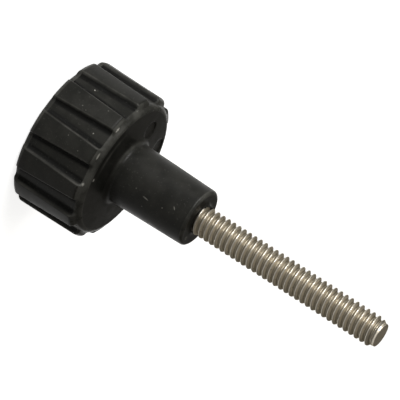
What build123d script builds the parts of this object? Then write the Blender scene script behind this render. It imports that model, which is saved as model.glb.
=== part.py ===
from build123d import *
import os
from math import cos, pi, radians, sin, tan

# A clamping knob: a ribbed plastic head and its long neck in one moulding, with a steel stud moulded in.
# Sizes are in millimetres. The part stands on the flat top of its head, with its stud along +Z.

# Head of the moulding
head_height = 15.75
body_diameter = 30.1
top_edge_radius = 1.3
rim_edge_radius = 1.3
underside_rise = 0.4
draft_angle = 1.5

# Grip ribs round the head
rib_count = 12
rib_height = 0.95
rib_top_width = 4.7
rib_base_width = 5.5
rib_draft_angle = 0.8
rib_side_draft_angle = 2.7
rib_top_inset = 0.4
rib_rim_inset = 0.6
rib_end_radius = 1.1
rib_edge_radius = 0.3
rib_root_radius = 0.8

# Neck below the head, from the plane of the head's rim to the neck's end face
neck_length = 18.5
neck_root_diameter = 13.05
neck_end_diameter = 12.25
neck_fillet = 1.2
neck_edge_radius = 0.7

# Ejector pin marks on the head's underside, each on a circle of its own
mark_diameter = 3.9
mark_depth = 0.2
inner_mark_circle_diameter = 18.6
inner_mark_angle = -90.0
outer_mark_circle_diameter = 22.2
outer_mark_angle = -143.0

# Steel stud, 1/4 in thread of 20 to the inch
thread_diameter = 6.35
stud_projection = 42.9
thread_cover = 0.1
tip_diameter = 5.0
tip_length = 0.5
tip_cone_length = 0.95
tip_edge_chamfer = 0.12

# Anchor of the stud inside the moulding
shank_diameter = 5.5
anchor_across_flats = 7.9
anchor_length = 7.0
anchor_edge_chamfer = 0.4
anchor_depth = 16.0
shank_tail_length = 2.0

# Places worked out from the sizes
body_radius = body_diameter / 2
rib_radius = body_radius + rib_height
neck_end_z = head_height + neck_length
tip_z = neck_end_z + stud_projection
low_rim_radius = body_radius - head_height * tan(radians(draft_angle))
thread_start_z = neck_end_z - thread_cover
anchor_top_z = neck_end_z - anchor_depth
anchor_low_z = anchor_top_z - anchor_length
stud_low_z = anchor_low_z - shank_tail_length


def rib_face_radius(height):
    """Radius of the ribs' drafted outer faces at a height above the head's flat top."""
    return rib_radius - height * tan(radians(rib_draft_angle))


def turned(points, corners=()):
    """Solid turned round Z from (radius, height) points, with the named corners rounded."""
    with BuildSketch(Plane.XZ) as section:
        with BuildLine():
            Polyline(*points, close=True)
        make_face()
        for (radius, height), rounding in corners:
            place = Vector(radius, height)
            vertex = min(section.vertices(), key=lambda v: (Vector(v) - place).length)
            fillet(vertex, rounding)
    return revolve(section.sketch, axis=Axis.Z)


def moulding_core():
    """Head without its ribs, and the neck."""
    top_rim = (body_radius, 0)
    low_rim = (low_rim_radius, head_height)
    neck_root = (neck_root_diameter / 2, head_height + underside_rise)
    neck_end = (neck_end_diameter / 2, neck_end_z)
    points = [(0, 0), top_rim, low_rim, neck_root, neck_end, (0, neck_end_z)]
    corners = [
        (top_rim, top_edge_radius),
        (low_rim, rim_edge_radius),
        (neck_root, neck_fillet),
        (neck_end, neck_edge_radius),
    ]
    return turned(points, corners)


def rib_envelope():
    """Turned solid that gives the ribs their drafted outer face and their rounded ends."""
    rim_end_z = head_height - rib_rim_inset
    top_corner = (rib_face_radius(rib_top_inset), rib_top_inset)
    rim_corner = (rib_face_radius(rim_end_z), rim_end_z)
    points = [(0, rib_top_inset), top_corner, rim_corner, (0, rim_end_z)]
    return turned(points, [(top_corner, rib_end_radius), (rim_corner, rib_end_radius)])


def rib(envelope):
    """One grip rib along +X, which tapers from the head's flat top to its rim, with eased outer edges."""
    bar = loft([rib_section(0), rib_section(head_height)]) & envelope
    outer = [edge for edge in bar.edges() if is_rib_edge(edge)]
    return fillet(outer, rib_edge_radius)


def rib_section(height):
    """Section of a rib between its sloping sides, at a height above the head's flat top."""
    root = low_rim_radius - rib_root_radius
    tip = rib_radius + rib_edge_radius
    root_half, tip_half = rib_half_width(root, height), rib_half_width(tip, height)
    with BuildSketch(Plane.XY.offset(height)) as section:
        with BuildLine():
            Polyline((root, -root_half), (tip, -tip_half), (tip, tip_half), (root, root_half), close=True)
        make_face()
    return section.sketch


def rib_half_width(radius, height):
    """Half of a rib's width between its sloping, drafted sides, at a radius and a height."""
    slope = (rib_base_width - rib_top_width) / rib_height
    foot = (rib_base_width - slope * (radius - body_radius)) / 2
    return foot - height * tan(radians(rib_side_draft_angle))


def is_rib_edge(edge):
    """True for the edges between a rib's sides and its outer face."""
    middle = edge @ 0.5
    at_side = abs(middle.Y) > rib_half_width(rib_radius, middle.Z) - rib_edge_radius
    return at_side and Vector(middle.X, middle.Y).length > body_radius


def is_root_edge(edge):
    """True for the upright edges where the ribs' sides meet the head's wall."""
    low, high = sorted((edge @ 0, edge @ 1), key=lambda place: place.Z)
    upright = high.Z - low.Z > head_height - rib_top_inset - rib_rim_inset - 2 * rib_end_radius
    on_wall = low_rim_radius - rib_root_radius < Vector(low.X, low.Y).length < body_radius + rib_edge_radius
    return upright and on_wall


def ejector_marks():
    """Round pins that leave the shallow ejector marks on the head's underside."""
    inner = ejector_mark(inner_mark_circle_diameter / 2, inner_mark_angle)
    outer = ejector_mark(outer_mark_circle_diameter / 2, outer_mark_angle)
    return [inner, outer]


def ejector_mark(radius, angle):
    """Pin at a radius and angle, which ends at the mark's depth below the sloping underside."""
    slope = underside_rise / (low_rim_radius - neck_root_diameter / 2)
    floor_z = head_height + slope * (low_rim_radius - radius) - mark_depth
    pin = extrude(Circle(mark_diameter / 2), underside_rise + mark_depth)
    return Rot(0, 0, angle) * Pos(radius, 0, floor_z) * pin


def threaded_stud():
    """Stud with a plain rod at the thread's major diameter, a chamfered tip and a hexagonal anchor."""
    cone_z = tip_z - tip_length - tip_cone_length
    points = [
        (0, stud_low_z),
        (shank_diameter / 2, stud_low_z),
        (shank_diameter / 2, thread_start_z),
        (thread_diameter / 2, thread_start_z),
        (thread_diameter / 2, cone_z),
        (tip_diameter / 2, tip_z - tip_length),
        (tip_diameter / 2, tip_z - tip_edge_chamfer),
        (tip_diameter / 2 - tip_edge_chamfer, tip_z),
        (0, tip_z),
    ]
    hexagon = RegularPolygon(anchor_across_flats / 2, 6, major_radius=False)
    anchor = Pos(0, 0, anchor_low_z) * extrude(hexagon, anchor_length)
    ends = anchor.edges().group_by(Axis.Z)
    anchor = chamfer(ends[0] + ends[-1], anchor_edge_chamfer)
    return turned(points) + anchor


def knob_body(stud):
    """Head, ribs and neck as one moulding, closed round the stud's buried end."""
    one_rib = rib(rib_envelope())
    ribs = [Rot(0, 0, 360 / rib_count * index) * one_rib for index in range(rib_count)]
    body = moulding_core() + ribs
    roots = [edge for edge in body.edges() if is_root_edge(edge)]
    body = fillet(roots, rib_root_radius)
    return body - ejector_marks() - stud


os.makedirs("parts", exist_ok=True)
stud = threaded_stud()
body = knob_body(stud)
export_step(body, "parts/knob_body.step")
export_step(stud, "parts/threaded_stud.step")
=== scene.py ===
"""Looks of a ribbed clamping knob: a black moulding with a long neck, and its threaded steel stud.

The solid frame is loaded first and stays as it is. Two surfaces worked out with numpy stand for its
two nodes. A white sweep, soft lamps and a long lens make the picture. Lengths are in metres.
"""

import logging
import math
from dataclasses import dataclass, field
from enum import Enum
from typing import Any

import bmesh
import bpy
import numpy as np
from mathutils import Matrix, Vector


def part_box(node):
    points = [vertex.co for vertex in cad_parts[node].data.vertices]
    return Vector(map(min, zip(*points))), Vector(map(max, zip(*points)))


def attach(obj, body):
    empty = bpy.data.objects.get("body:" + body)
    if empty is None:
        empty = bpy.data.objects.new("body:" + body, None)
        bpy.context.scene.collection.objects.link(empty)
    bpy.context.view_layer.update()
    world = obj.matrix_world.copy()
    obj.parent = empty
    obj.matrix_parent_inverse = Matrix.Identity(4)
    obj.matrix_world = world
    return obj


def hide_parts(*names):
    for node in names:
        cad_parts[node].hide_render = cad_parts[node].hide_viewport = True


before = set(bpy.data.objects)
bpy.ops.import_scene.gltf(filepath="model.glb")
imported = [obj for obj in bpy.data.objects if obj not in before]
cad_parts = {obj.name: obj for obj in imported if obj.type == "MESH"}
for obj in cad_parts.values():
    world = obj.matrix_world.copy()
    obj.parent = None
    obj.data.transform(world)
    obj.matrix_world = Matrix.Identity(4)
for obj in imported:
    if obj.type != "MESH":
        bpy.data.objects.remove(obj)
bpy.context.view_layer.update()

MM = 0.001
FULL_TURN = 2 * math.pi
SHARP_ANGLE = math.radians(50)
MERGE_DISTANCE = 0.0002 * MM
LOG = logging.getLogger("knob")
Grid = np.ndarray
Socket = bpy.types.NodeSocket
Colour = tuple[float, float, float, float]
Table = tuple[tuple[float, ...], ...]


class Edge(Enum):
    """How two fields meet where they cross."""

    RIDGE = "ridge"
    VALLEY = "valley"


def eased(one: Grid, other: Grid, reach: float, edge: Edge) -> Grid:
    """Joins two fields with their crossing rounded.

    A ridge takes the smaller field and a valley the larger. Where the two differ by less than
    reach, the result moves away from the crossing by (reach - difference) squared over four reaches.

    Args:
        one: First field.
        other: Second field, of a shape that fits the first.
        reach: Difference below which the crossing is rounded.
        edge: Whether the crossing stands out or lies in.

    Returns:
        The joined field.
    """
    ease = np.maximum(reach - np.abs(one - other), 0) ** 2 / (4 * reach)
    if edge is Edge.RIDGE:
        return np.minimum(one, other) - ease
    return np.maximum(one, other) + ease


def bump(distance: Grid, reach: float) -> Grid:
    """Bell curve: the exponential of minus the square of distance over reach."""
    return np.exp(-((distance / reach) ** 2))


def turned_by(angle: Grid, centre: float) -> Grid:
    """Angle from a centre, wrapped to half a turn each way, in radians."""
    return (angle - centre + math.pi) % FULL_TURN - math.pi


def turned_points(radius: Grid, angle: Grid, height: Grid) -> Grid:
    """Points at a radius, an angle and a height about the upright axis."""
    level = [radius * np.cos(angle), radius * np.sin(angle)]
    return np.stack(np.broadcast_arrays(*level, height), axis=-1)


def uneven(angle: Grid, height: Grid, wave: float, seed: int) -> Grid:
    """Slow unevenness over a turned surface, from about -1 to 1.

    It is the mean of twelve cosines. Each has a whole number of waves round the axis, a seeded
    number of waves for each wave length of height, and a seeded phase.

    Args:
        angle: Angles about the axis.
        height: Heights along the axis.
        wave: Typical wave length along the axis.
        seed: Seed of the draws.

    Returns:
        The unevenness at each angle and height.
    """
    draw = np.random.default_rng(seed)
    total = np.zeros(np.broadcast(angle, height).shape)
    count = 12
    for _ in range(count):
        around = draw.integers(-5, 6)
        along = draw.uniform(-1, 1) * FULL_TURN / wave
        total += np.cos(around * angle + along * height + draw.uniform(0, FULL_TURN))
    return total / math.sqrt(count)


@dataclass(frozen=True)
class Corner:
    """Corner of a turned section.

    Attributes:
        radius: Distance from the axis.
        height: Height above the part's foot.
        rounding: Radius of the rounding there.
        step: Length of the divisions on the straight run that leads here.
    """

    radius: float
    height: float
    rounding: float = 0.0
    step: float = 1 * MM


def section_path(corners: list[Corner], arc_step: float) -> tuple[Grid, Grid]:
    """Follows a section from corner to corner.

    A rounding is the circle that touches both runs. It starts at the rounding times the tangent of
    half the turn before the corner, and its centre lies one rounding to the side of the turn.

    Args:
        corners: Corners in order, from the axis round the solid's outside and back.
        arc_step: Length of the divisions on the roundings.

    Returns:
        Points as rows of radius and height, and for each point the side that it turns to: 1 on a
        convex rounding, -1 on a hollow one and 0 on a straight run.
    """
    places = np.array([(c.radius, c.height) for c in corners])
    points = [places[:1]]
    bends = [np.zeros(1)]
    last = places[0]
    for index in range(1, len(corners)):
        corner = corners[index]
        ahead = (places[index] - last) / np.linalg.norm(places[index] - last)
        arc = np.empty((0, 2))
        start = places[index]
        bend = 0.0
        if corner.rounding > 0:
            after = places[index + 1] - places[index]
            after /= np.linalg.norm(after)
            turn = math.atan2(ahead[0] * after[1] - ahead[1] * after[0], ahead @ after)
            bend = math.copysign(1, turn)
            start = places[index] - ahead * corner.rounding * math.tan(abs(turn) / 2)
            side = np.array([-ahead[1], ahead[0]]) * bend
            centre = start + side * corner.rounding
            count = max(3, math.ceil(abs(turn) * corner.rounding / arc_step))
            swing = turn * np.arange(1, count + 1)[:, None] / count
            away = ahead * np.abs(np.sin(swing)) - side * np.cos(swing)
            arc = centre + corner.rounding * away
        run = np.linalg.norm(start - last)
        count = max(1, math.ceil(run / corner.step))
        straight = last + (start - last) * np.arange(1, count + 1)[:, None] / count
        points += [straight, arc]
        bends += [np.zeros(len(straight)), np.full(len(arc), bend)]
        last = arc[-1] if len(arc) else start
    return np.concatenate(points), np.concatenate(bends)


def woven_mesh(name: str, points: Grid, wrap: Grid, values: dict[str, Grid]) -> bpy.types.Object:
    """Closes a grid round the axis and makes it a piece.

    Rows follow each other from foot to top and columns go round the axis. The last column of row i
    joins the first column of row wrap[i], so a row can climb as it goes round. Points that fall on
    each other, at the poles and where rows end on a plane, are merged.

    Args:
        name: Name of the piece.
        points: Places, as rows by columns by three.
        wrap: Row that each row joins after a full turn.
        values: Named numbers for each point, as rows by columns.

    Returns:
        The piece, at the origin, with its faces pointing outwards.
    """
    rows, columns = points.shape[:2]
    row, column = np.meshgrid(np.arange(rows - 1), np.arange(columns), indexing="ij")
    after = np.where(column + 1 < columns, row, wrap[row])
    after_up = np.where(column + 1 < columns, row + 1, wrap[row + 1])
    beside = (column + 1) % columns
    quads = np.stack(
        [
            row * columns + column,
            after * columns + beside,
            after_up * columns + beside,
            (row + 1) * columns + column,
        ],
        axis=-1,
    ).reshape(-1, 4)
    mesh = bpy.data.meshes.new(name)
    mesh.vertices.add(rows * columns)
    mesh.vertices.foreach_set("co", points.astype(np.float32).ravel())
    mesh.loops.add(quads.size)
    mesh.loops.foreach_set("vertex_index", quads.astype(np.int32).ravel())
    mesh.polygons.add(len(quads))
    mesh.polygons.foreach_set("loop_start", np.arange(0, quads.size, 4, dtype=np.int32))
    mesh.update(calc_edges=True)
    for label, numbers in values.items():
        attribute = mesh.attributes.new(label, "FLOAT", "POINT")
        attribute.data.foreach_set("value", numbers.astype(np.float32).ravel())
    around = np.stack([column, column + 1, column + 1, column], axis=-1) / columns
    along = np.stack([row, row, row + 1, row + 1], axis=-1) / (rows - 1)
    unwrapped = mesh.uv_layers.new(name="unwrapped")
    unwrapped.data.foreach_set("uv", np.stack([around, along], axis=-1).astype(np.float32).ravel())
    merge_doubles(mesh)
    mesh.shade_smooth()
    mesh.set_sharp_from_angle(angle=SHARP_ANGLE)
    piece = bpy.data.objects.new(name, mesh)
    bpy.context.scene.collection.objects.link(piece)
    return piece


def merge_doubles(mesh: bpy.types.Mesh) -> None:
    """Merges points that fall on each other, and drops the faces that close up."""
    net = bmesh.new()
    net.from_mesh(mesh)
    bmesh.ops.remove_doubles(net, verts=net.verts, dist=MERGE_DISTANCE)
    net.to_mesh(mesh)
    net.free()


class Wiring:
    """Adds nodes to one node tree and joins them."""

    def __init__(self, tree: bpy.types.NodeTree) -> None:
        """Starts on a tree with no nodes of its own."""
        self.tree = tree
        tree.nodes.clear()

    def add(self, kind: str, inputs: dict[Any, Any] | None = None, **settings: Any) -> bpy.types.Node:
        """Adds a node.

        Args:
            kind: Type name of the node.
            inputs: Value or joined socket for each input, by name or number.
            settings: Properties of the node.

        Returns:
            The new node.
        """
        node = self.tree.nodes.new(kind)
        for name, value in settings.items():
            setattr(node, name, value)
        for socket, value in (inputs or {}).items():
            self.feed(node.inputs[socket], value)
        return node

    def feed(self, socket: Socket, value: Any) -> None:
        """Joins an output to the socket, or sets the socket's own value."""
        if isinstance(value, Socket):
            self.tree.links.new(value, socket)
        else:
            socket.default_value = value

    def math(self, operation: str, one: Any, other: Any = 0.0) -> Socket:
        """Result of one sum on two numbers."""
        return self.add("ShaderNodeMath", {0: one, 1: other}, operation=operation).outputs[0]

    def times(self, one: Any, other: Any) -> Socket:
        """One number times another."""
        return self.math("MULTIPLY", one, other)

    def largest(self, values: list[Any]) -> Socket:
        """Largest of some numbers."""
        total = values[0]
        for value in values[1:]:
            total = self.math("MAXIMUM", total, value)
        return total

    def fade(self, value: Any, start: float, end: float, low: float = 0.0, high: float = 1.0) -> Socket:
        """Smooth change from low at start to high at end."""
        inputs = {"Value": value, "From Min": start, "From Max": end, "To Min": low, "To Max": high}
        node = self.add("ShaderNodeMapRange", inputs, interpolation_type="SMOOTHSTEP")
        return node.outputs["Result"]

    def blend(self, share: Any, low: Any, high: Any) -> Socket:
        """Colour between low and high."""
        node = self.add("ShaderNodeMix", data_type="RGBA")
        self.feed(node.inputs[0], share)
        self.feed(node.inputs[6], low)
        self.feed(node.inputs[7], high)
        return node.outputs[2]

    def noise(self, vector: Any, scale: Any, detail: float = 2.0) -> Socket:
        """Noise from 0 to 1 over a vector."""
        inputs = {"Vector": vector, "Scale": scale, "Detail": detail}
        return self.add("ShaderNodeTexNoise", inputs).outputs["Fac"]

    def group(self, group: bpy.types.NodeTree, vector: Any, **values: float) -> Any:
        """Outputs of a shared group, read at a vector with its own values."""
        return self.add("ShaderNodeGroup", {"Vector": vector, **values}, node_tree=group).outputs

    def attribute(self, name: str) -> Socket:
        """Number that the mesh holds under a name."""
        return self.add("ShaderNodeAttribute", attribute_name=name).outputs["Fac"]

    def place(self) -> Socket:
        """Place on the piece, in its own coordinates."""
        return self.add("ShaderNodeTexCoord").outputs["Object"]

    def surface(self, inputs: dict[str, Any], relief: dict[str, Any]) -> None:
        """Ends a material with the standard shader, whose surface is bent by a fine relief.

        Args:
            inputs: Inputs of the shader.
            relief: Height, strength and distance of the relief.
        """
        inputs = {**inputs, "Normal": self.add("ShaderNodeBump", relief).outputs["Normal"]}
        shader = self.add("ShaderNodeBsdfPrincipled", inputs)
        self.add("ShaderNodeOutputMaterial", {"Surface": shader.outputs["BSDF"]})


def new_material(name: str) -> tuple[bpy.types.Material, Wiring]:
    """New material, and the wiring of its empty tree."""
    made = bpy.data.materials.new(name)
    made.use_nodes = True
    return made, Wiring(made.node_tree)


class Effects:
    """Surface effects that more than one finish uses, each a node group made once."""

    def __init__(self) -> None:
        """Makes the groups."""
        self.grain = self.make_grain()
        self.scratches = self.make_scratches()
        self.specks = self.make_specks()

    @staticmethod
    def start(name: str, inputs: dict[str, float], results: tuple[str, ...]) -> tuple[Wiring, Any]:
        """Starts a group that reads a vector and numbers, and gives numbers.

        Args:
            name: Name of the group.
            inputs: Default value of each number that it reads.
            results: Names of the numbers that it gives.

        Returns:
            The group's wiring, and the outputs of its input node.
        """
        group = bpy.data.node_groups.new(name, "ShaderNodeTree")
        face = group.interface
        face.new_socket(name="Vector", in_out="INPUT", socket_type="NodeSocketVector")
        for label, value in inputs.items():
            socket = face.new_socket(name=label, in_out="INPUT", socket_type="NodeSocketFloat")
            socket.default_value = value
        for label in results:
            face.new_socket(name=label, in_out="OUTPUT", socket_type="NodeSocketFloat")
        wiring = Wiring(group)
        return wiring, wiring.add("NodeGroupInput").outputs

    @classmethod
    def make_grain(cls) -> bpy.types.NodeTree:
        """Cloudy mottle and fine grain: two noises over the surface, the second 14 times finer.

        Returns:
            Group with outputs Mottle and Grain.
        """
        wiring, given = cls.start("grain", {"Scale": 200.0}, ("Mottle", "Grain"))
        vector, scale = given["Vector"], given["Scale"]
        mottle = wiring.fade(wiring.noise(vector, scale, 3.0), 0.3, 0.7)
        grain = wiring.noise(vector, wiring.times(scale, 14.0), 2.0)
        wiring.add("NodeGroupOutput", {"Mottle": mottle, "Grain": grain})
        return wiring.tree

    @classmethod
    def make_scratches(cls) -> bpy.types.NodeTree:
        """Fine scratches: noise stretched into long threads in three directions, cut at its peaks.

        Returns:
            Group with the output Scratches.
        """
        wiring, given = cls.start("scratches", {"Scale": 100.0, "Cut": 0.7}, ("Scratches",))
        lines = []
        for turn in ((0.3, 0.5, 0.2), (1.4, -0.4, 0.9), (-0.7, 1.1, 2.0)):
            inputs = {"Vector": given["Vector"], "Scale": (1.0, 22.0, 22.0), "Rotation": turn}
            stretched = wiring.add("ShaderNodeMapping", inputs).outputs["Vector"]
            peaks = wiring.noise(stretched, given["Scale"], 1.0)
            lines.append(wiring.fade(wiring.math("SUBTRACT", peaks, given["Cut"]), 0.0, 0.05))
        wiring.add("NodeGroupOutput", {"Scratches": wiring.largest(lines)})
        return wiring.tree

    @classmethod
    def make_specks(cls) -> bpy.types.NodeTree:
        """Scattered specks: discs round the seeds of a cell pattern, kept in some of the cells.

        Returns:
            Group with the output Specks.
        """
        wiring, given = cls.start("specks", {"Scale": 400.0, "Size": 0.12, "Share": 0.3}, ("Specks",))
        inputs = {"Vector": given["Vector"], "Scale": given["Scale"]}
        cells = wiring.add("ShaderNodeTexVoronoi", inputs).outputs
        colour = wiring.add("ShaderNodeSeparateColor", {"Color": cells["Color"]}).outputs
        kept = wiring.math("LESS_THAN", colour[0], given["Share"])
        size = wiring.times(given["Size"], colour[1])
        disc = wiring.fade(wiring.math("SUBTRACT", size, cells["Distance"]), 0.0, 0.04)
        wiring.add("NodeGroupOutput", {"Specks": wiring.times(kept, disc)})
        return wiring.tree


@dataclass(frozen=True)
class Mark:
    """Short pale mark on the surface, used for wear marks, specks and painted glints.

    Attributes:
        angle: Angle about the axis, in degrees from +X.
        length: Length of the mark, along its turn.
        turn: Turn of its length from the direction round the axis, in degrees.
        tilt: Angle of the surface's outward direction above the level, in degrees.
        strength: How pale the mark is, up to one.
        depth: How far from its place the mark reaches into and out of the surface.
    """

    angle: float
    radius: float
    height: float
    length: float
    width: float
    turn: float = 0.0
    tilt: float = 0.0
    strength: float = 1.0
    depth: float = 0.4 * MM

    def mask(self, wiring: Wiring, vector: Socket) -> Socket:
        """The mark's strength inside a stretched ball over the mark, and nought outside it.

        Args:
            wiring: Wiring of the material.
            vector: Object coordinates.

        Returns:
            The mask's socket.
        """
        angle, turn, tilt = (math.radians(value) for value in (self.angle, self.turn, self.tilt))
        level = Vector((math.cos(angle), math.sin(angle), 0.0))
        around = Vector((-math.sin(angle), math.cos(angle), 0.0))
        axis = Vector((0.0, 0.0, 1.0))
        place = level * self.radius + axis * self.height
        outward = level * math.cos(tilt) + axis * math.sin(tilt)
        upward = axis * math.cos(tilt) - level * math.sin(tilt)
        along = around * math.cos(turn) + upward * math.sin(turn)
        across = outward.cross(along)
        facing = Matrix((along, across, outward)).transposed().to_euler()
        inputs = {
            "Vector": vector,
            "Location": place,
            "Rotation": facing,
            "Scale": (self.length / 2, self.width / 2, self.depth),
        }
        local = wiring.add("ShaderNodeMapping", inputs, vector_type="TEXTURE").outputs["Vector"]
        reach = wiring.add("ShaderNodeVectorMath", {0: local}, operation="LENGTH").outputs["Value"]
        return wiring.fade(reach, 1.0, 0.4, 0.0, self.strength)


@dataclass(frozen=True)
class BlackPlastic:
    """Semi-gloss black plastic with a cloudy gloss, fine scuff lines, specks, edges lightened by wear
    and painted highlight, painted shade in the hollows, and painted highlight arcs and glints.

    A dullness adds roughness where its mask is one, and a polish takes it away.

    Attributes:
        cloud_colour: Colour that the mottle leads to.
        hollow_shade_colour: Painted shade on the ribs' flanks and roots, where shade falls in the
            hollows.
        dust_and_glint_colour: Colour of specks and wear marks, and of the painted glints on rib ends
            and a nick.
        scratch_cut: Noise above which a scratch shows.
        speck_share: Share of the cells that hold a speck.
        least_wear_and_highlight: Share of the wear and painted highlight that stays where the mottle is
            low.
    """

    colour: Colour = (0.0080, 0.0080, 0.0068, 1.0)
    cloud_colour: Colour = (0.0190, 0.0185, 0.0160, 1.0)
    # Painted shade: darker colour for the ribs' flanks and roots, where shade falls in the hollows.
    hollow_shade_colour: Colour = (0.0040, 0.0040, 0.0036, 1.0)
    # Lighter colour for edge wear, for the painted highlight on edges and for the painted highlight
    # arcs.
    wear_and_highlight_colour: Colour = (0.075, 0.074, 0.066, 1.0)
    # Pale colour of specks and wear marks, and of the painted glints.
    dust_and_glint_colour: Colour = (0.30, 0.29, 0.26, 1.0)
    specular: float = 0.065
    dull: float = 0.44
    glossy: float = 0.30
    hollow_dullness: float = 0.35
    scratch_dullness: float = 0.12
    edge_polish: float = 0.12
    grain_scale: float = 260.0
    scratch_scale: float = 95.0
    scratch_cut: float = 0.70
    speck_scale: float = 480.0
    speck_size: float = 0.10
    speck_share: float = 0.04
    cloud_share: float = 0.6
    edge_wear_and_highlight: float = 0.75
    scratch_wear: float = 0.22
    least_wear_and_highlight: float = 0.4
    wear_and_highlight_share: float = 0.8
    speck_strength: float = 0.5
    relief: float = 0.12
    relief_depth: float = 0.02 * MM

    def material(self, effects: Effects, marks: list[Mark]) -> bpy.types.Material:
        """Makes the material.

        Args:
            effects: Shared groups.
            marks: Wear marks, specks and painted glints on the surface.

        Returns:
            The material.
        """
        made, wiring = new_material("black_plastic")
        vector = wiring.place()
        grain = wiring.group(effects.grain, vector, Scale=self.grain_scale)
        scratch_values = {"Scale": self.scratch_scale, "Cut": self.scratch_cut}
        scratches = wiring.group(effects.scratches, vector, **scratch_values)
        speck_values = {"Scale": self.speck_scale, "Size": self.speck_size, "Share": self.speck_share}
        specks = wiring.group(effects.specks, vector, **speck_values)
        patchy = wiring.fade(grain["Mottle"], 0.0, 1.0, self.least_wear_and_highlight, 1.0)
        # Edges: lighter as wear and as painted highlight.
        edge = wiring.times(wiring.attribute("edge"), patchy)
        scuffed = wiring.times(scratches["Scratches"], self.scratch_wear)
        wear_and_highlight = wiring.math("MAXIMUM", wiring.times(edge, self.edge_wear_and_highlight), scuffed)
        # Painted highlight arcs on the underside and the neck's root.
        painted_highlight = wiring.times(wiring.attribute("painted_highlight"), patchy)
        hollow = wiring.attribute("hollow")
        # Pale marks: wear marks and specks, and painted glints on the rib ends and a nick.
        mark_and_glint_mask = wiring.largest([mark.mask(wiring, vector) for mark in marks])
        rough_mark_and_glint = wiring.times(mark_and_glint_mask, wiring.fade(grain["Grain"], 0.25, 0.5))
        dust_and_glint = wiring.times(specks["Specks"], self.speck_strength)
        dust_and_glint = wiring.math("MAXIMUM", dust_and_glint, rough_mark_and_glint)
        cloudy = wiring.times(grain["Mottle"], self.cloud_share)
        colour = wiring.blend(cloudy, self.colour, self.cloud_colour)
        # Painted shade in the ribs' hollows.
        colour = wiring.blend(hollow, colour, self.hollow_shade_colour)
        colour = wiring.blend(wiring.times(wear_and_highlight, self.wear_and_highlight_share), colour, self.wear_and_highlight_colour)
        # Painted highlight arcs, in the lighter colour.
        colour = wiring.blend(painted_highlight, colour, self.wear_and_highlight_colour)
        # Specks and wear marks, with the painted glints, in the pale colour.
        colour = wiring.blend(dust_and_glint, colour, self.dust_and_glint_colour)
        roughness = wiring.fade(grain["Mottle"], 0.0, 1.0, self.glossy, self.dull)
        scraped = wiring.times(scratches["Scratches"], self.scratch_dullness)
        polished = wiring.times(edge, self.edge_polish)
        sunk = wiring.times(hollow, self.hollow_dullness)
        roughness = wiring.math("ADD", roughness, scraped)
        roughness = wiring.math("SUBTRACT", roughness, polished)
        roughness = wiring.math("ADD", roughness, sunk)
        height = wiring.math("SUBTRACT", grain["Grain"], scuffed)
        wiring.surface(
            {"Base Color": colour, "Roughness": roughness, "Specular IOR Level": self.specular},
            {"Height": height, "Strength": self.relief, "Distance": self.relief_depth},
        )
        return made


@dataclass(frozen=True)
class StudSteel:
    """Warm stainless steel with polished crests, painted shade in the roots, streaks and small pits.

    Attributes:
        root_shade_and_stain_colour: Painted shade of the thread's roots, and colour of streaks and
            pits.
        tint: Colour of the reflection at a glancing angle.
        pit_share: Share of the cells that hold a pit.
        streak_stretch: Stretch of the streaks' noise along and across the thread.
    """

    crest_colour: Colour = (0.46, 0.43, 0.375, 1.0)
    flank_colour: Colour = (0.62, 0.565, 0.475, 1.0)
    # Painted shade: the thread's roots are darker, where shade falls between the crests; streaks and
    # pits are real stains in the same colour.
    root_shade_and_stain_colour: Colour = (0.20, 0.18, 0.14, 1.0)
    tint: Colour = (0.45, 0.42, 0.35, 1.0)
    crest_roughness: float = 0.34
    root_roughness: float = 0.44
    grain_scale: float = 520.0
    pit_scale: float = 1500.0
    pit_size: float = 0.35
    pit_share: float = 0.5
    streak_stretch: tuple[float, float, float] = (9.0, 700.0, 1.0)
    streak_shade: float = 0.45
    pit_shade: float = 0.5
    relief: float = 0.25
    relief_depth: float = 0.02 * MM

    def material(self, effects: Effects) -> bpy.types.Material:
        """Makes the material.

        Args:
            effects: Shared groups.

        Returns:
            The material.
        """
        made, wiring = new_material("stud_steel")
        vector = wiring.place()
        unwrapped = wiring.add("ShaderNodeUVMap", uv_map="unwrapped").outputs["UV"]
        grain = wiring.group(effects.grain, vector, Scale=self.grain_scale)
        pit_values = {"Scale": self.pit_scale, "Size": self.pit_size, "Share": self.pit_share}
        pits = wiring.group(effects.specks, vector, **pit_values)
        stretch = {"Vector": unwrapped, "Scale": self.streak_stretch}
        streaks = wiring.noise(wiring.add("ShaderNodeMapping", stretch).outputs["Vector"], 3.0, 3.0)
        crest = wiring.attribute("crest")
        # Painted shade in the thread's roots.
        tone = wiring.blend(wiring.fade(crest, 0.02, 0.5), self.root_shade_and_stain_colour, self.flank_colour)
        tone = wiring.blend(wiring.fade(crest, 0.75, 1.0), tone, self.crest_colour)
        shade = wiring.fade(streaks, 0.3, 0.7, 0.0, self.streak_shade)
        shade = wiring.math("ADD", shade, wiring.times(pits["Specks"], self.pit_shade))
        tone = wiring.blend(shade, tone, self.root_shade_and_stain_colour)
        roughness = wiring.fade(crest, 0.4, 1.0, self.root_roughness, self.crest_roughness)
        roughness = wiring.math("ADD", roughness, wiring.fade(grain["Mottle"], 0.0, 1.0, -0.04, 0.08))
        height = wiring.math("ADD", wiring.times(grain["Grain"], 0.4), streaks)
        wiring.surface(
            {"Base Color": tone, "Metallic": 1.0, "Roughness": roughness, "Specular Tint": self.tint},
            {"Height": height, "Strength": self.relief, "Distance": self.relief_depth},
        )
        return made


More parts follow.
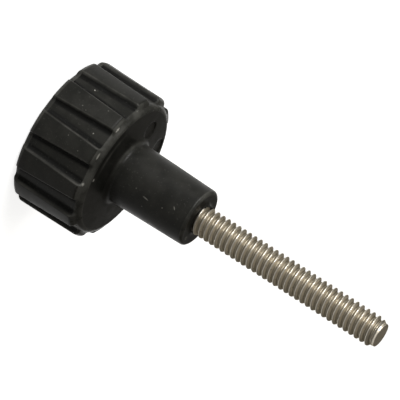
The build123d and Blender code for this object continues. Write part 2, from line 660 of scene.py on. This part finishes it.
@dataclass
class Moulding:
    """Ribbed head and long neck, in one moulding with a bore for the stud.

    Sizes that the frame holds are read from it. Drafts are changes of radius, or of half a rib's
    width, for each unit of height.

    Attributes:
        rib_end_slope: Steepness of a rib's end past its quarter circle.
        root_reach: How far the painted shade of the roots goes past a rib's base, and root_fade how
            softly it ends.
        mark_places: Radius and angle in degrees of each ejector mark.
        mark_snap: Distance from a mark's circle within which points move onto it.
        painted_highlight_arcs: Radius, height, reach, angle and spread in degrees, and strength of each
            painted highlight arc.
        lip_ring: Height and waver in millimetres of the lip round the bore, and its reach.
        lip_lobes: Angle and spread in degrees and height in millimetres of each high part.
        waver: Depth and wave length of the surface's slight unevenness.
        face_share: Share of the columns on a rib's face, and flank_share that on its flanks.
        face_margin: How far inside a face's edge the flank's columns begin.
        root_margin: How far past a rib's base the flank's columns end.
        round_wear_and_highlight: Wear and painted highlight on the section's convex roundings.
    """

    draft: float = math.tan(math.radians(1.5))
    head_height: float = 15.75 * MM
    top_rounding: float = 1.3 * MM
    rim_rounding: float = 1.3 * MM
    underside_rise: float = 0.4 * MM
    rib_count: int = 12
    rib_height: float = 0.95 * MM
    rib_draft: float = math.tan(math.radians(0.8))
    rib_side_draft: float = math.tan(math.radians(2.7))
    rib_top_width: float = 4.7 * MM
    rib_base_width: float = 5.5 * MM
    rib_top_inset: float = 0.4 * MM
    rib_rim_inset: float = 0.6 * MM
    rib_end_rounding: float = 1.1 * MM
    rib_edge_reach: float = 0.32 * MM
    rib_root_rounding: float = 0.8 * MM
    rib_foot_reach: float = 0.25 * MM
    rib_end_slope: float = 12.0
    root_reach: float = 0.55 * MM
    root_fade: float = 0.35 * MM
    neck_root_radius: float = 6.525 * MM
    neck_end_radius: float = 6.125 * MM
    neck_fillet: float = 1.2 * MM
    neck_edge_rounding: float = 0.7 * MM
    bore_radius: float = 3.02 * MM
    bore_depth: float = 1.5 * MM
    mark_radius: float = 1.95 * MM
    mark_depth: float = 0.2 * MM
    mark_places: Table = ((9.3 * MM, -90.0), (11.1 * MM, -143.0))
    mark_snap: float = 0.1 * MM
    mark_wall: float = 0.03 * MM
    # Painted highlight arcs on the underside and the neck's root.
    painted_highlight_arcs: Table = (
        (11.7 * MM, 15.9 * MM, 0.35 * MM, -9.0, 20.0, 0.9),
        (6.9 * MM, 16.6 * MM, 0.30 * MM, -35.0, 32.0, 0.7),
    )
    lip_ring: tuple[float, float, float] = (0.07, 0.05, 0.45 * MM)
    lip_lobes: Table = ((-82, 13, 0.75), (-108, 11, 0.95), (-55, 9, 0.30), (72, 16, 0.16))
    waver: tuple[float, float] = (0.012 * MM, 7 * MM)
    arc_step: float = 0.14 * MM
    columns_per_rib: int = 30
    face_share: float = 0.2
    flank_share: float = 0.6
    face_margin: float = 0.35 * MM
    root_margin: float = 0.65 * MM
    round_wear_and_highlight: float = 0.8
    neck_end: float = field(init=False)
    rib_radius: float = field(init=False)

    def __post_init__(self) -> None:
        """Reads the neck's end and the ribs' reach from the frame."""
        _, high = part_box("knob_body")
        self.neck_end = high.z
        self.rib_radius = high.x

    def face_radius(self, height: Grid) -> Grid:
        """Radius of the ribs' drafted outer faces, which is widest above their rounded foot ends."""
        return self.rib_radius + self.rib_draft * (self.rib_top_inset + self.rib_end_rounding - height)

    def wall_radius(self, height: Grid) -> Grid:
        """Radius of the head's drafted wall between the ribs."""
        return self.face_radius(0.0) - self.rib_height - self.draft * height

    def section(self) -> tuple[Grid, Grid]:
        """Section of the head and neck without ribs, from the foot's centre to the bore's end."""
        foot_radius = float(self.wall_radius(0.0))
        rim_radius = float(self.wall_radius(self.head_height))
        low_end = self.rib_top_inset + self.rib_end_rounding + 0.2 * MM
        rim_end = self.head_height - self.rib_rim_inset - self.rib_end_rounding - 0.2 * MM
        neck_start = self.head_height + self.underside_rise
        bore_end = self.neck_end - self.bore_depth
        corners = [
            Corner(0.0, 0.0),
            Corner(foot_radius, 0.0, self.top_rounding, 1.5 * MM),
            Corner(float(self.wall_radius(low_end)), low_end, 0.0, 0.1 * MM),
            Corner(float(self.wall_radius(rim_end)), rim_end, 0.0, 0.6 * MM),
            Corner(rim_radius, self.head_height, self.rim_rounding, 0.1 * MM),
            Corner(self.neck_root_radius, neck_start, self.neck_fillet, 0.17 * MM),
            Corner(self.neck_end_radius, self.neck_end, self.neck_edge_rounding, 0.5 * MM),
            Corner(self.bore_radius, self.neck_end, 0.0, 0.12 * MM),
            Corner(self.bore_radius, bore_end, 0.0, 0.5 * MM),
            Corner(0.0, bore_end, 0.0, 4 * MM),
        ]
        return section_path(corners, self.arc_step)

    def angles(self, height: Grid) -> Grid:
        """Angles of the columns at each row, closest together on the ribs' flanks.

        In each half of a rib's share the columns are spread evenly over three runs: the face, the
        flank with its roundings, and the floor. The flank moves inwards as the rib tapers.

        Args:
            height: Height of the section at each row.

        Returns:
            Angles, as rows by columns.
        """
        half_share = math.pi / self.rib_count
        taper = self.rib_side_draft * np.clip(height, 0, self.head_height)[:, None]
        start = (self.rib_top_width / 2 - self.face_margin - taper) / self.face_radius(0.0)
        end = (self.rib_base_width / 2 + self.root_margin - taper) / self.wall_radius(0.0)
        share = np.linspace(0, 1, self.columns_per_rib // 2 + 1)[None, :]
        face = np.minimum(share / self.face_share, 1)
        flank = np.clip((share - self.face_share) / self.flank_share, 0, 1)
        floor_share = 1 - self.face_share - self.flank_share
        floor = np.maximum(share - self.face_share - self.flank_share, 0) / floor_share
        half = start * face + (end - start) * flank + (half_share - end) * floor
        one_rib = np.concatenate([-half[:, :0:-1], half[:, :-1]], axis=1)
        centres = FULL_TURN / self.rib_count * np.arange(self.rib_count)
        return (centres[None, :, None] + one_rib[:, None, :]).reshape(len(height), -1)

    def rib_face(self, height: Grid) -> Grid:
        """Radius of the ribs' outer face: the drafted wall, with a quarter circle at each end."""
        low = self.rib_top_inset + self.rib_end_rounding
        high = self.head_height - self.rib_rim_inset - self.rib_end_rounding
        past = np.maximum(np.maximum(low - height, height - high), 0)
        inside = np.minimum(past, self.rib_end_rounding)
        fall = self.rib_end_rounding - np.sqrt(self.rib_end_rounding**2 - inside**2)
        return self.face_radius(height) - fall - (past - inside) * self.rib_end_slope

    def rib_flank(self, across: Grid, height: Grid) -> Grid:
        """Height of a rib's flank over the wall.

        The flank is a straight slope through the base's edge, which comes nearer to the rib's
        middle with the height. At its foot it is the circle that touches the slope and the wall,
        with its ends one rounding times the tangent of half the slope's angle from the corner.

        Args:
            across: Distance from the rib's middle, as rows by columns.
            height: Height above the part's foot at each row.

        Returns:
            Height over the wall, as rows by columns.
        """
        slope = math.atan2(self.rib_height, (self.rib_base_width - self.rib_top_width) / 2)
        tangent = self.rib_root_rounding * math.tan(slope / 2)
        edge = (self.rib_base_width / 2 - self.rib_side_draft * height)[:, None]
        straight = (edge - across) * math.tan(slope)
        into = np.clip(edge + tangent - across, 0, self.rib_root_rounding)
        circle = self.rib_root_rounding - np.sqrt(self.rib_root_rounding**2 - into**2)
        return np.where(across < edge - tangent * math.cos(slope), straight, circle)

    def ribs(self, angle: Grid, radius: Grid, height: Grid) -> tuple[Grid, Grid, Grid]:
        """Height of the ribs over the wall, and how sharply their edges turn.

        A rib is the smaller of its flank and its outer face, with the ridge between them rounded.
        Where its ends sink into the wall, the valley is rounded too.

        Args:
            angle: Angles, as rows by columns.
            radius: Radius of the section at each row.
            height: Height of the section at each row.

        Returns:
            Height over the wall, a mask that is one on the ridges, and one that is one on the flanks
            and their roots.
        """
        share = FULL_TURN / self.rib_count
        off = (angle + share / 2) % share - share / 2
        across = np.abs(np.sin(off)) * (radius[:, None] + self.rib_height / 2)
        flank = self.rib_flank(across, height)
        face = (self.rib_face(height) - radius)[:, None] + 0 * flank
        standing = eased(flank, face, self.rib_edge_reach, Edge.RIDGE)
        ridge = bump(flank - face, self.rib_edge_reach) * (standing > 0.2 * self.rib_height)
        sunk = eased(standing, 0 * standing, self.rib_foot_reach, Edge.VALLEY)
        root_end = self.rib_base_width / 2 + self.root_reach - self.rib_side_draft * height[:, None]
        # Mask of the flanks and roots, which the plastic darkens as painted shade and also dulls.
        hollow = np.clip((face - flank) / self.rib_edge_reach - 0.5, 0, 1)
        hollow *= np.clip((root_end - across) / self.root_fade + 1, 0, 1)
        return np.where(face > flank, np.maximum(standing, 0), sunk), ridge, hollow

    def ejector_marks(self, points: Grid) -> None:
        """Sinks the shallow round marks into the underside.

        A point within a mark's radius of its centre goes down by the mark's depth, and points close
        to the circle are first moved onto it, so that the step is round and steep.

        Args:
            points: Points of the underside, which are changed in place.
        """
        rim = self.mark_radius
        for circle, degrees in self.mark_places:
            angle = math.radians(degrees)
            centre = circle * np.array([math.cos(angle), math.sin(angle)])
            offset = points[..., :2] - centre
            distance = np.maximum(np.linalg.norm(offset, axis=-1), 1e-9)
            outer = (distance >= rim) & (distance < rim + self.mark_snap)
            inner = (distance < rim) & (distance > rim - self.mark_snap)
            wanted = np.where(outer, rim, np.where(inner, rim - self.mark_wall, distance))
            points[..., :2] = centre + offset * (wanted / distance)[..., None]
            points[..., 2] -= self.mark_depth * (distance < rim)

    def flash(self, angle: Grid, radius: Grid) -> Grid:
        """Thin lip of plastic round the bore, high on one side where it has crept up the thread.

        Its height is a low uneven ring plus a few bells round chosen angles, and it falls off as a
        bell with the distance from the bore.

        Args:
            angle: Angles, as rows by columns.
            radius: Radius of the section at each row.

        Returns:
            Height of the lip over the neck's end.
        """
        low, waver, reach = self.lip_ring
        ring = low + waver * uneven(angle, 0 * angle, 1.0, seed=11)
        for centre, spread, tall in self.lip_lobes:
            ring = ring + tall * bump(turned_by(angle, math.radians(centre)), math.radians(spread))
        near = bump(np.maximum(radius - self.bore_radius, 0), reach)
        return np.maximum(ring, 0) * near[:, None] * MM

    def painted_highlight(self, angle: Grid, radius: Grid, height: Grid) -> Grid:
        """Mask of the painted highlight arcs on the underside and at the neck's root.

        Each arc is a bell over the distance from its circle times a bell over the angle from its
        middle.

        Args:
            angle: Angles, as rows by columns.
            radius: Radius of the section at each row.
            height: Height of the section at each row.

        Returns:
            The mask, as rows by columns.
        """
        above = height > self.head_height - 0.3 * MM
        total = 0 * angle
        for circle, level, reach, centre, spread, share in self.painted_highlight_arcs:
            away = np.hypot(radius - circle, height - level)
            along = bump(turned_by(angle, math.radians(centre)), math.radians(spread))
            total = total + share * (bump(away, reach) * above)[:, None] * along
        return total

    def build(self) -> bpy.types.Object:
        """Makes the moulding's mesh.

        The section is turned round the axis, the ribs stand out along the radius, and the marks, the
        lip and a slight unevenness are added.

        Returns:
            The piece.
        """
        section, bend = self.section()
        radius, height = section[:, 0], section[:, 1]
        angle = self.angles(height)
        on_wall = (radius > self.wall_radius(self.head_height) - self.rim_rounding) & (height > 0)
        on_wall &= height < self.head_height
        rise, ridge, hollow = self.ribs(angle, radius, height)
        reach = radius[:, None] + rise * on_wall[:, None]
        outside = (radius > self.bore_radius) & (height > 0) & (radius < self.wall_radius(0.0) + 1 * MM)
        depth, wave = self.waver
        sink = depth * uneven(angle, height[:, None], wave, seed=3) * outside[:, None]
        reach = np.minimum(reach + sink, self.rib_radius)
        points = turned_points(reach, angle, height[:, None])
        low, high = self.head_height - 0.05 * MM, self.head_height + self.underside_rise
        underside = (height > low) & (height < high)
        flat = points[underside]
        self.ejector_marks(flat)
        points[underside] = flat
        end_face = (height > self.neck_end - 0.01 * MM) & (radius < self.neck_end_radius)
        points[end_face, :, 2] += self.flash(angle[end_face], radius[end_face])
        convex = np.maximum(bend, 0)[:, None] + 0 * reach
        # Mask of the painted highlight arcs.
        painted_highlight = self.painted_highlight(angle, radius, height)
        # Lighter edges on the convex roundings and ridges, partly wear and partly painted highlight.
        edge = np.clip(np.maximum(convex * self.round_wear_and_highlight, ridge * on_wall[:, None]), 0, 1)
        masks = {"edge": edge, "hollow": hollow * on_wall[:, None], "painted_highlight": painted_highlight}
        piece = woven_mesh("moulded_body", points, np.arange(len(radius)), masks)
        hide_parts("knob_body")
        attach(piece, "root")
        return piece


@dataclass
class Stud:
    """Threaded steel stud, with its plain shank and hexagonal anchor inside the moulding.

    Sizes that the frame holds are read from it.

    Attributes:
        first_crest: Height of a crest over the neck's end, at no angle.
        tip_radius: Radius of the plain end past the cone.
        cone_margin: How far the cone's wide end stands over the crests.
        tip_fill: Length over which the roots fill up before the plain end.
        thread_entry: How far the thread goes on inside the moulding.
        shine: Polish of the buried end, the tip's edge and the tip's face.
    """

    pitch: float = 1.27 * MM
    crest_radius: float = 3.115 * MM
    root_radius: float = 2.44 * MM
    crest_width: float = 0.20 * MM
    root_width: float = 0.34 * MM
    crest_reach: float = 0.13 * MM
    root_reach: float = 0.30 * MM
    crest_waver: float = 0.012 * MM
    first_crest: float = 0.43 * MM
    tip_radius: float = 2.5 * MM
    tip_length: float = 0.5 * MM
    tip_cone: float = 0.95 * MM
    cone_margin: float = 0.06 * MM
    cone_reach: float = 0.1 * MM
    tip_fill: float = 0.3 * MM
    tip_edge: float = 0.14 * MM
    thread_entry: float = 1.3 * MM
    shank_radius: float = 2.75 * MM
    anchor_apothem: float = 3.95 * MM
    anchor_depth: float = 16.0 * MM
    anchor_length: float = 7.0 * MM
    anchor_chamfer: float = 0.4 * MM
    shine: tuple[float, float, float] = (0.5, 0.8, 0.45)
    columns: int = 120
    rows_per_pitch: int = 16
    neck_end: float = field(init=False)
    foot: float = field(init=False)
    tip: float = field(init=False)

    def __post_init__(self) -> None:
        """Reads the stud's ends and the neck's end from the frame."""
        low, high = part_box("threaded_stud")
        self.foot = low.z
        self.tip = high.z
        self.neck_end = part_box("knob_body")[1].z

    def thread(self, phase: Grid) -> Grid:
        """Radius of the thread against its phase, in turns from a crest.

        The flanks are straight lines from the crest's flat to the root's. The ridge at the crest
        and the valley at the root are rounded.
        """
        off = np.abs((phase + 0.5) % 1.0 - 0.5) * self.pitch
        depth = self.crest_radius - self.root_radius
        run = (self.pitch - self.crest_width - self.root_width) / 2
        flank = self.crest_radius - (off - self.crest_width / 2) * depth / run
        top = eased(flank, self.crest_radius + 0 * flank, self.crest_reach, Edge.RIDGE)
        return eased(top, self.root_radius + 0 * flank, self.root_reach, Edge.VALLEY)

    def stations(self) -> Grid:
        """Phases of the rows in one pitch, evenly spaced along the thread's outline."""
        phase = np.linspace(0, 1, 2001)
        step = np.hypot(np.diff(self.thread(phase)), np.diff(phase) * self.pitch)
        along = np.concatenate([[0], np.cumsum(step)])
        wanted = np.arange(self.rows_per_pitch) / self.rows_per_pitch * along[-1]
        return np.interp(wanted, along, phase)

    def radius_at(self, angle: Grid, height: Grid) -> tuple[Grid, Grid]:
        """Radius of the threaded run, and how near it is to a crest.

        A crest climbs one pitch for each turn, right-handed. The tip's cone cuts the thread with
        its ridge rounded, and each crest is a little uneven.

        Args:
            angle: Angles of the points.
            height: Heights of the points.

        Returns:
            Radius, and nought at the root to one at the crest.
        """
        phase = (height - self.neck_end - self.first_crest) / self.pitch - angle / FULL_TURN
        plain = self.thread(phase)
        near = (plain - self.root_radius) / (self.crest_radius - self.root_radius)
        wear = uneven(angle * 3, height * 5, 4 * MM, seed=21)
        wear = wear + uneven(angle * 11, height * 17, 9 * MM, seed=22)
        radius = plain + self.crest_waver * wear * near
        cone_start = self.tip - self.tip_length
        widening = self.crest_radius + self.cone_margin - self.tip_radius
        cone = self.tip_radius + (cone_start - height) * widening / self.tip_cone
        cone = np.maximum(cone, self.tip_radius)
        fade = np.clip((height - cone_start + self.tip_fill) / self.tip_fill, 0, 1)
        radius = radius + (np.maximum(radius, self.tip_radius) - radius) * fade
        return eased(radius, cone, self.cone_reach, Edge.RIDGE), np.clip(near, 0, 1)

    def anchor_radius(self, angle: Grid) -> Grid:
        """Radius of the hexagon: its apothem over the cosine of the angle from a flat's middle."""
        share = math.pi / 3
        off = (angle % share) - share / 2
        return self.anchor_apothem / np.cos(off)

    def buried(self, angle: Grid) -> tuple[Grid, Grid]:
        """Rows of the buried end: the tail, the chamfered anchor and the shank up to the thread.

        Args:
            angle: Angles of the columns.

        Returns:
            Radius and height, as rows by columns.
        """
        anchor_high = self.neck_end - self.anchor_depth
        anchor_low = anchor_high - self.anchor_length
        entry = self.neck_end - self.thread_entry
        round_row = np.ones_like(angle)
        hexagon = self.anchor_radius(angle)
        small = np.minimum(hexagon, self.anchor_apothem / math.cos(math.pi / 6) - self.anchor_chamfer)
        small = small - self.anchor_chamfer / 2
        rows = [
            (0.0 * round_row, self.foot),
            (self.shank_radius * round_row, self.foot),
            (self.shank_radius * round_row, anchor_low),
            (small, anchor_low),
            (hexagon, anchor_low + self.anchor_chamfer),
            (hexagon, anchor_high - self.anchor_chamfer),
            (small, anchor_high),
            (self.shank_radius * round_row, anchor_high),
            (self.shank_radius * round_row, entry),
        ]
        radius = np.array([row[0] for row in rows])
        height = np.array([row[1] for row in rows])[:, None] * round_row[None, :]
        return radius, height

    def build(self) -> bpy.types.Object:
        """Makes the stud's mesh.

        Rows of the threaded run climb one pitch as they go round, so they follow the thread. What
        lies past either end of the run is moved onto its end plane. Plain rows close the ends.

        Returns:
            The piece.
        """
        angle = FULL_TURN * np.arange(self.columns) / self.columns
        entry = self.neck_end - self.thread_entry
        finish = self.tip - self.tip_edge
        turns = math.ceil((finish - entry) / self.pitch) + 2
        phase = (np.arange(turns)[:, None] + self.stations()[None, :]).ravel()
        lowest = self.neck_end + self.first_crest
        lowest -= self.pitch * math.ceil((lowest - entry) / self.pitch + 1)
        climbing = lowest + self.pitch * (phase[:, None] + angle[None, :] / FULL_TURN)
        climbing = np.clip(climbing, entry, finish)
        threaded, crest = self.radius_at(angle[None, :], climbing)
        low_radius, low_height = self.buried(angle)
        ease = np.linspace(0, math.pi / 2, 6)[1:]
        lip = threaded[-1][None, :] - self.tip_edge * (1 - np.cos(ease))[:, None]
        lip_height = finish + self.tip_edge * np.sin(ease)[:, None] + 0 * lip
        inward = np.array([0.75, 0.5, 0.25, 0.0])[:, None] * lip[-1][None, :]
        radius = np.concatenate([low_radius, threaded, lip, inward])
        height = np.concatenate([low_height, climbing, lip_height, self.tip + 0 * inward])
        buried, edge, end = self.shine
        polished = np.concatenate([0 * low_radius + buried, crest, edge + 0 * lip, end + 0 * inward])
        points = turned_points(radius, angle, height)
        wrap = np.arange(len(radius))
        first, last = len(low_radius), len(low_radius) + len(climbing) - 1
        wrap[first : last + 1] = np.minimum(wrap[first : last + 1] + self.rows_per_pitch, last)
        piece = woven_mesh("stud", points, wrap, {"crest": polished})
        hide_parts("threaded_stud")
        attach(piece, "root")
        return piece


@dataclass(frozen=True)
class Lamp:
    """Soft rectangular lamp.

    Attributes:
        azimuth: Angle from +X, in degrees, of the side it stands on.
        elevation: Angle above the horizon, in degrees.
        distance: Distance from the part's middle.
        radiance: Brightness of its face, where one shows as white.
    """

    name: str
    azimuth: float
    elevation: float
    distance: float
    width: float
    depth: float
    radiance: float
    colour: tuple[float, float, float] = (1.0, 1.0, 1.0)

    def place(self, aim: Vector) -> bpy.types.Object:
        """Makes the lamp and turns it to the part.

        Args:
            aim: Point that it faces.

        Returns:
            The lamp's object.
        """
        light = bpy.data.lights.new(self.name, "AREA")
        light.shape = "RECTANGLE"
        light.size, light.size_y = self.width, self.depth
        light.energy = self.radiance * math.pi * self.width * self.depth
        light.color = self.colour
        azimuth, elevation = math.radians(self.azimuth), math.radians(self.elevation)
        level = math.cos(elevation)
        away = Vector((math.cos(azimuth) * level, math.sin(azimuth) * level, math.sin(elevation)))
        lamp = bpy.data.objects.new(self.name, light)
        facing = away.to_track_quat("Z", "Y").to_matrix().to_4x4()
        lamp.matrix_world = Matrix.Translation(aim + away * self.distance) @ facing
        bpy.context.scene.collection.objects.link(lamp)
        return lamp


@dataclass
class Studio:
    """White sweep under and round the part, the room's plain light and the lamps.

    Attributes:
        rise: Height of the sweep's edge over its flat part.
        white: Share of the light that the paper gives back.
        shown_share: Brightness that the lens and reflections see besides.
    """

    reach: float = 2.6
    flat_reach: float = 1.6
    rise: float = 0.34
    columns: int = 96
    white: float = 0.80
    fibre_scale: float = 900.0
    shown_share: float = 0.80
    room_colour: Colour = (0.21, 0.20, 0.18, 1.0)
    lamps: tuple[Lamp, ...] = (
        Lamp("key_lamp", -50.0, 7.0, 0.70, 0.46, 0.24, 20.0),
        Lamp("end_lamp", -99.0, 63.0, 0.80, 0.26, 0.26, 4.0),
    )

    def sweep(self) -> bpy.types.Object:
        """Round floor whose outer part curves up all round.

        Its height is nought out to the flat part's reach, and past it the rise times the smooth
        step of the share of the way to the edge.

        Returns:
            The floor.
        """
        curved = np.linspace(self.flat_reach, self.reach, 24)
        distance = np.concatenate([[0.0, 0.05, 0.15, 0.4, 0.9], curved])[:, None]
        share = np.clip((distance - self.flat_reach) / (self.reach - self.flat_reach), 0, 1)
        height = self.rise * share**2 * (3 - 2 * share)
        angle = FULL_TURN * np.arange(self.columns) / self.columns
        points = turned_points(distance, angle, height)
        floor = woven_mesh("sweep", points[::-1].copy(), np.arange(len(distance)), {})
        floor.data.materials.append(self.paper())
        return floor

    def paper(self) -> bpy.types.Material:
        """White paper that takes the part's shadow, and shows as white to the lens and in gloss.

        Returns:
            The material.
        """
        made, wiring = new_material("white_paper")
        fibre = wiring.fade(wiring.noise(wiring.place(), self.fibre_scale, 3.0), 0.3, 0.7, 0.97, 1.0)
        tone = wiring.blend(fibre, (0.0, 0.0, 0.0, 1.0), (self.white, self.white, self.white, 1.0))
        matt = wiring.add("ShaderNodeBsdfDiffuse", {"Color": tone})
        path = wiring.add("ShaderNodeLightPath").outputs
        camera = path["Is Camera Ray"]
        seen = wiring.largest([camera, path["Is Glossy Ray"], path["Is Transmission Ray"]])
        shown = wiring.times(seen, self.shown_share)
        glow = wiring.add("ShaderNodeEmission", {"Strength": shown})
        both = wiring.add("ShaderNodeAddShader", {0: matt.outputs[0], 1: glow.outputs[0]})
        clear = wiring.add("ShaderNodeBsdfTransparent")
        behind = wiring.add("ShaderNodeNewGeometry").outputs["Backfacing"]
        under = wiring.times(behind, camera)
        shader = wiring.add("ShaderNodeMixShader", {0: under, 1: both.outputs[0], 2: clear.outputs[0]})
        wiring.add("ShaderNodeOutputMaterial", {"Surface": shader.outputs[0]})
        return made

    def build(self, aim: Vector) -> None:
        """Lays the sweep, hangs the lamps and sets the room's light.

        Args:
            aim: Point that the lamps face.
        """
        self.sweep()
        for lamp in self.lamps:
            lamp.place(aim)
        world = bpy.data.worlds.new("room")
        world.use_nodes = True
        wiring = Wiring(world.node_tree)
        light = wiring.add("ShaderNodeBackground", {"Color": self.room_colour, "Strength": 1.0})
        wiring.add("ShaderNodeOutputWorld", {"Surface": light.outputs[0]})
        bpy.context.scene.world = world
        bpy.context.scene.view_settings.view_transform = "Standard"


@dataclass(frozen=True)
class LongLens:
    """Camera as fitted to the photograph's outline and thread.

    Attributes:
        focal_pixels: Focal length in pixels of the picture.
        picture_pixels: Side of the picture in pixels.
        tilt: Angle by which the stud's tip leans towards the lens, in degrees.
        roll: Angle of the axis below the picture's horizontal, in degrees.
        turn: Angle of +X from the direction to the lens, about the axis, in degrees.
        neck_pixel: Pixel of the centre of the neck's end.
        distance: Distance of that centre in front of the lens.
        sensor: Width of the sensor, in millimetres.
    """

    focal_pixels: float = 3282.8
    picture_pixels: float = 400.0
    tilt: float = 18.36
    roll: float = 32.67
    turn: float = 3.3
    neck_pixel: tuple[float, float] = (200.05, 219.12)
    distance: float = 0.63495
    sensor: float = 36.0

    def place(self, neck_end: float) -> bpy.types.Object:
        """Sets the camera so that the neck's end falls on its pixel.

        The part's axis and two directions across it are written in the lens's frame, which is
        right, down and forward. They make the turn from part to lens, and its inverse gives the
        camera's place and turn in the part's frame.

        Args:
            neck_end: Height of the neck's end.

        Returns:
            The camera.
        """
        tilt, roll, turn = (math.radians(value) for value in (self.tilt, self.roll, self.turn))
        level = math.cos(tilt)
        axis = Vector((level * math.cos(roll), level * math.sin(roll), -math.sin(tilt)))
        across = Vector((-math.sin(roll), math.cos(roll), 0.0))
        toward = across.cross(axis)
        part_x = toward * math.cos(turn) + across * math.sin(turn)
        part_y = across * math.cos(turn) - toward * math.sin(turn)
        to_part = Matrix((part_x, part_y, axis))
        middle = self.picture_pixels / 2
        right, down = ((pixel - middle) / self.focal_pixels for pixel in self.neck_pixel)
        seen = Vector((right, down, 1.0)) * self.distance
        place = to_part @ (axis * neck_end - seen)
        flip = Matrix(((1, 0, 0), (0, -1, 0), (0, 0, -1)))
        data = bpy.data.cameras.new("long_lens")
        data.sensor_width = self.sensor
        data.lens = self.sensor * self.focal_pixels / self.picture_pixels
        data.clip_start, data.clip_end = 0.01, 20.0
        camera = bpy.data.objects.new("long_lens", data)
        camera.matrix_world = Matrix.Translation(place) @ (to_part @ flip).to_4x4()
        bpy.context.scene.collection.objects.link(camera)
        bpy.context.scene.camera = camera
        return camera


# Angle in degrees, length in millimetres and strength of each painted glint on a rib end
RIB_END_GLINTS: Table = (
    (-51.0, 1.0, 0.45), (-26.5, 1.6, 0.9), (-1.8, 1.9, 0.6), (22.5, 1.1, 0.4), (45.0, 0.9, 0.35),
)
# Angle in degrees, radius, height and size in millimetres, and strength of each speck
SPECKS: Table = (
    (-45.3, 15.0, 5.8, 0.42, 0.9), (-14.3, 14.7, 11.6, 0.35, 0.6), (-26.4, 15.9, 6.7, 0.30, 0.35),
    (-24.7, 15.9, 7.8, 0.25, 0.35), (-3.2, 15.9, 8.0, 0.25, 0.3), (2.5, 15.85, 11.3, 0.25, 0.3),
    (-33.6, 15.85, 11.4, 0.3, 0.35), (11.3, 6.4, 22.0, 0.4, 0.16), (35.7, 6.35, 24.5, 0.4, 0.14),
    (16.5, 6.25, 28.5, 0.4, 0.18),
)


def wear_marks_and_glints() -> list[Mark]:
    """Scuff marks and specks of the moulding, and painted glints on its rib ends and on a nick, where
    the photograph shows them.
    """
    # Painted glints: pale marks on the rib ends.
    rib_end_glints = [
        Mark(angle, 14.9 * MM, 15.1 * MM, length * MM, 0.75 * MM, 0.0, 60.0, strength)
        for angle, length, strength in RIB_END_GLINTS
    ]
    specks = [
        Mark(angle, radius * MM, height * MM, size * MM, size * MM, 0.0, 0.0, strength)
        for angle, radius, height, size, strength in SPECKS
    ]
    scuff_marks_and_nick_glint = [
        Mark(17.9, 6.35 * MM, 24.6 * MM, 1.7 * MM, 0.4 * MM, 80.0, 0.0, 0.28),
        Mark(5.1, 6.2 * MM, 30.7 * MM, 1.1 * MM, 0.3 * MM, 40.0, 0.0, 0.32),
        # Pale mark at the rim's nick: a painted glint.
        Mark(18.5, 12.8 * MM, 15.75 * MM, 1.0 * MM, 0.7 * MM, 20.0, 75.0, 0.8),
        Mark(74.7, 4.7 * MM, 34.25 * MM, 1.6 * MM, 1.1 * MM, 0.0, 90.0, 0.3),
    ]
    return rib_end_glints + specks + scuff_marks_and_nick_glint


def main() -> None:
    """Builds the pieces in order, dresses them and reports each."""
    logging.basicConfig(level=logging.INFO, format="%(message)s")
    effects = Effects()
    moulding = Moulding()
    stud = Stud()
    body = moulding.build()
    body.data.materials.append(BlackPlastic().material(effects, wear_marks_and_glints()))
    rod = stud.build()
    rod.data.materials.append(StudSteel().material(effects))
    for piece in (body, rod):
        counts = len(piece.data.vertices), len(piece.data.polygons)
        LOG.info("%s: %d points, %d faces", piece.name, *counts)
    middle = Vector((0.0, 0.0, stud.tip / 2))
    Studio().build(middle)
    LongLens().place(moulding.neck_end)


if __name__ == "__main__":
    main()
